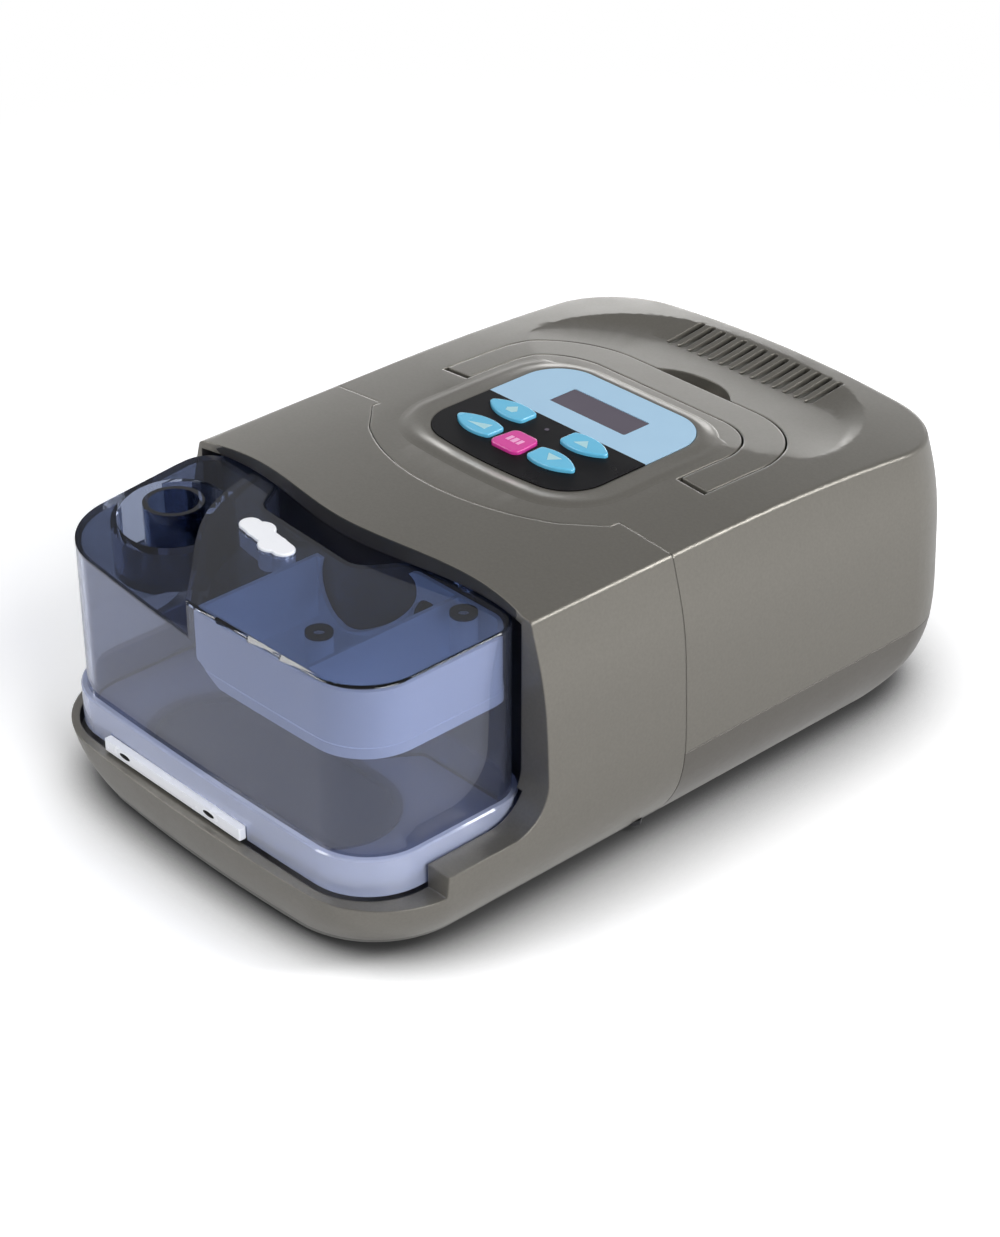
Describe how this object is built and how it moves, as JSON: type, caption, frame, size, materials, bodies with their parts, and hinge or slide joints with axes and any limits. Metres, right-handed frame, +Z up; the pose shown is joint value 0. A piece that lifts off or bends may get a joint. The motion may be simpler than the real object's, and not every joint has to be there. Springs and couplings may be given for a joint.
{
  "type": "bilevel pap machine",
  "caption": "Bilevel airway pressure machine with carry handle, display and press keys, and a docked humidifier with a clear slide-out water tank and hose outlet",
  "frame": {"origin": "middle of the footprint, on the table", "axes": "+Z up, +Y to the back of the machine, +X to the right seen from the water tank's side"},
  "size_m": [0.1964, 0.3005, 0.1126],
  "materials": {
    "casing": "satin warm grey, lightly metallic",
    "casing_base": "satin dark grey",
    "tank_clear": "smoky violet-grey transparent plastic",
    "guide_clear": "milky translucent plastic",
    "flange_clear": "dark smoky transparent plastic",
    "rubber_black": "matte black",
    "rubber_white": "soft white",
    "latch_white": "glossy white",
    "panel_black": "gloss black",
    "panel_blue": "pale blue",
    "window_clear": "clear pane",
    "display_dark": "dark grey screen",
    "key_blue": "sky blue",
    "key_pink": "magenta pink",
    "heater_metal": "turned",
    "plate_steel": "brushed",
    "steel": "plain",
    "board_green": "circuit board",
    "inner_plastic": "black inner plastic",
    "wheel_white": "natural moulding",
    "foam": "open-cell foam",
    "filter_white": "filter fleece",
    "motor_metal": "plated can"
  },
  "bodies": {
    "blower_unit": {"main_cover": "casing", "main_base": "casing_base", "panel_fascia": "inner_plastic", "key_overlay": "panel_black", "display_overlay": "panel_blue", "display_window": "window_clear", "display_module": "display_dark", "control_board": "board_green", "key_mat": "rubber_white", "blower_housing": "inner_plastic", "blower_mounts": "rubber_black", "blower_cover": "inner_plastic", "blower_motor": "motor_metal", "muffler_box": "inner_plastic", "inlet_foam": "foam", "main_board": "board_green", "power_inlet": "inner_plastic", "switch_frame": "inner_plastic", "card_socket": "steel", "air_filter": "filter_white", "main_feet": "rubber_black", "case_screws": "steel", "handle_pins": "steel"},
    "humidifier": {"humidifier_housing": "casing", "humidifier_plate": "casing_base", "humidifier_duct": "inner_plastic", "port_seal": "rubber_black", "humidifier_feet": "rubber_black", "humidifier_screws": "steel"},
    "heater": {"heater_plate": "heater_metal", "heater_springs": "steel"},
    "water_tank": {"tank_cover": "tank_clear", "outlet_tube": "tank_clear", "tank_base": "flange_clear", "tank_gasket": "rubber_black", "tank_heat_plate": "plate_steel", "air_guide": "guide_clear", "post_rings": "rubber_black"},
    "latch": {"release_latch": "latch_white"},
    "stopper": {"filler_stopper": "rubber_white"},
    "handle": {"carry_handle": "casing"},
    "wheel": {"blower_wheel": "wheel_white", "blower_shaft": "steel"},
    "rocker": {"power_switch": "inner_plastic"},
    "card": {"memory_card": "inner_plastic"},
    "filter_door": {"filter_cover": "casing_base"},
    "button_upper_left": {"key_upper_left": "key_blue"},
    "button_lower_left": {"key_lower_left": "key_blue"},
    "button_centre": {"key_centre": "key_pink"},
    "button_lower_right": {"key_lower_right": "key_blue"},
    "button_upper_right": {"key_upper_right": "key_blue"}
  },
  "joints": [
    {"name": "humidifier_slide", "type": "slide", "parent": "blower_unit", "child": "humidifier", "axis": [0, -1, 0], "range_m": [0, 0.06]},
    {"name": "tank_slide", "type": "slide", "parent": "humidifier", "child": "water_tank", "axis": [0, -1, 0], "range_m": [0, 0.12]},
    {"name": "heater_press", "type": "slide", "parent": "humidifier", "child": "heater", "axis": [0, 0, -1], "range_m": [0, 0.001], "stiffness_N_per_m": 3000, "springref_m": -0.001},
    {"name": "latch_press", "type": "slide", "parent": "water_tank", "child": "latch", "axis": [0, 1, 0], "range_m": [0, 0.0008], "stiffness_N_per_m": 2000, "springref_m": -0.0002},
    {"name": "stopper_pull", "type": "slide", "parent": "water_tank", "child": "stopper", "axis": [0, 0, 1], "range_m": [0, 0.02]},
    {"name": "handle_hinge", "type": "hinge", "parent": "blower_unit", "child": "handle", "pos_m": [0, 0.038, 0.1054], "axis": [1, 0, 0], "range_deg": [0, 95]},
    {"name": "wheel_spin", "type": "hinge", "parent": "blower_unit", "child": "wheel", "pos_m": [0.02, 0.072, 0.06], "axis": [0, 0, 1], "continuous": true},
    {"name": "upper_left_press", "type": "slide", "parent": "blower_unit", "child": "button_upper_left", "axis": [0, 0, -1], "range_m": [0, 0.0008], "stiffness_N_per_m": 1500, "springref_m": -0.0001},
    {"name": "lower_left_press", "type": "slide", "parent": "blower_unit", "child": "button_lower_left", "axis": [0, 0, -1], "range_m": [0, 0.0008], "stiffness_N_per_m": 1500, "springref_m": -0.0001},
    {"name": "centre_press", "type": "slide", "parent": "blower_unit", "child": "button_centre", "axis": [0, 0, -1], "range_m": [0, 0.0008], "stiffness_N_per_m": 1500, "springref_m": -0.0001},
    {"name": "lower_right_press", "type": "slide", "parent": "blower_unit", "child": "button_lower_right", "axis": [0, 0, -1], "range_m": [0, 0.0008], "stiffness_N_per_m": 1500, "springref_m": -0.0001},
    {"name": "upper_right_press", "type": "slide", "parent": "blower_unit", "child": "button_upper_right", "axis": [0, 0, -1], "range_m": [0, 0.0008], "stiffness_N_per_m": 1500, "springref_m": -0.0001},
    {"name": "rocker_tilt", "type": "hinge", "parent": "blower_unit", "child": "rocker", "pos_m": [-0.034, 0.139, 0.05], "axis": [1, 0, 0], "range_deg": [-7, 7]},
    {"name": "card_pull", "type": "slide", "parent": "blower_unit", "child": "card", "axis": [0, 1, 0], "range_m": [0, 0.022]},
    {"name": "filter_door_pull", "type": "slide", "parent": "blower_unit", "child": "filter_door", "axis": [0, 1, 0], "range_m": [0, 0.02]}
  ]
}
